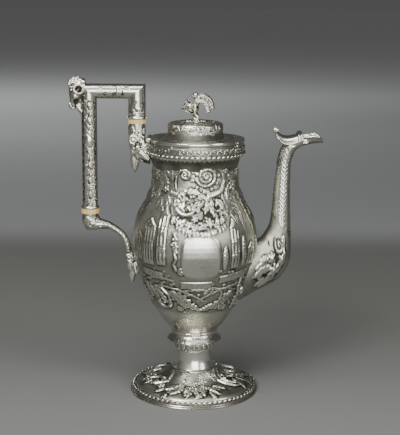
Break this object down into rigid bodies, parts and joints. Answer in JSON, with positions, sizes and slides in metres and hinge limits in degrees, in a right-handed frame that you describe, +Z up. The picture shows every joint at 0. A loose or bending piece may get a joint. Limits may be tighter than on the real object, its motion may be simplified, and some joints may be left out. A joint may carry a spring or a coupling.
{
  "type": "silver coffee pot",
  "caption": "Footed silver coffee pot with a pear-shaped body, tall curved spout, hinged lid with a leaf finial and a square tube handle with ivory insulating rings.",
  "frame": {"origin": "centre of the plane that the foot stands on, on the axis of the body", "axes": "+Z up along the axis of the body, +X towards the spout, -X towards the handle, Y across"},
  "size_m": [0.2546, 0.1324, 0.3256],
  "materials": {
    "silver_sheet": "raised and chased silver sheet, hand polished, darkened in the hollows",
    "silver_cast": "cast and chased silver, bright on its high points",
    "silver_wire": "drawn and turned silver, polished",
    "silver_engraved": "smooth silver with engraved scrolls, soft polish",
    "ivory": "old polished ivory, warm cream"
  },
  "bodies": {
    "pot": {"foot_rim": "silver_wire", "foot": "silver_sheet", "foot_rope_wire": "silver_wire", "stem": "silver_sheet", "leaf_collar": "silver_cast", "body_base_ring": "silver_wire", "body": "silver_sheet", "neck_band": "silver_engraved", "neck_rope_wire": "silver_wire", "lid_seat_ring": "silver_wire", "hinge_plate": "silver_wire", "hinge_pin": "silver_wire", "spout_near_half": "silver_sheet", "spout_far_half": "silver_sheet", "spout_beak": "silver_cast", "spout_hood": "silver_cast", "spout_strap": "silver_wire", "handle_grip": "silver_engraved", "handle_top_tube": "silver_engraved", "handle_short_tube": "silver_engraved", "upper_ferrule": "silver_wire", "lower_ferrule": "silver_wire", "upper_insulator": "ivory", "lower_insulator": "ivory", "insulator_pins": "silver_wire", "upper_socket": "silver_cast", "upper_socket_rosettes": "silver_cast", "upper_socket_leaves": "silver_cast", "lower_socket": "silver_cast", "lower_socket_rosette": "silver_cast", "lower_socket_leaves": "silver_cast", "ram_head": "silver_cast", "ram_horns": "silver_cast"},
    "lid": {"lid": "silver_sheet", "lid_rim": "silver_wire", "lid_bezel": "silver_wire", "finial": "silver_cast", "finial_washer": "silver_wire", "finial_nut": "silver_wire", "hinge_lid_knuckles": "silver_wire"}
  },
  "joints": [
    {"name": "lid_hinge", "type": "hinge", "parent": "pot", "child": "lid", "pos_m": [-0.0465, 0, 0.2623], "axis": [0, -1, 0], "range_deg": [0, 40]}
  ]
}
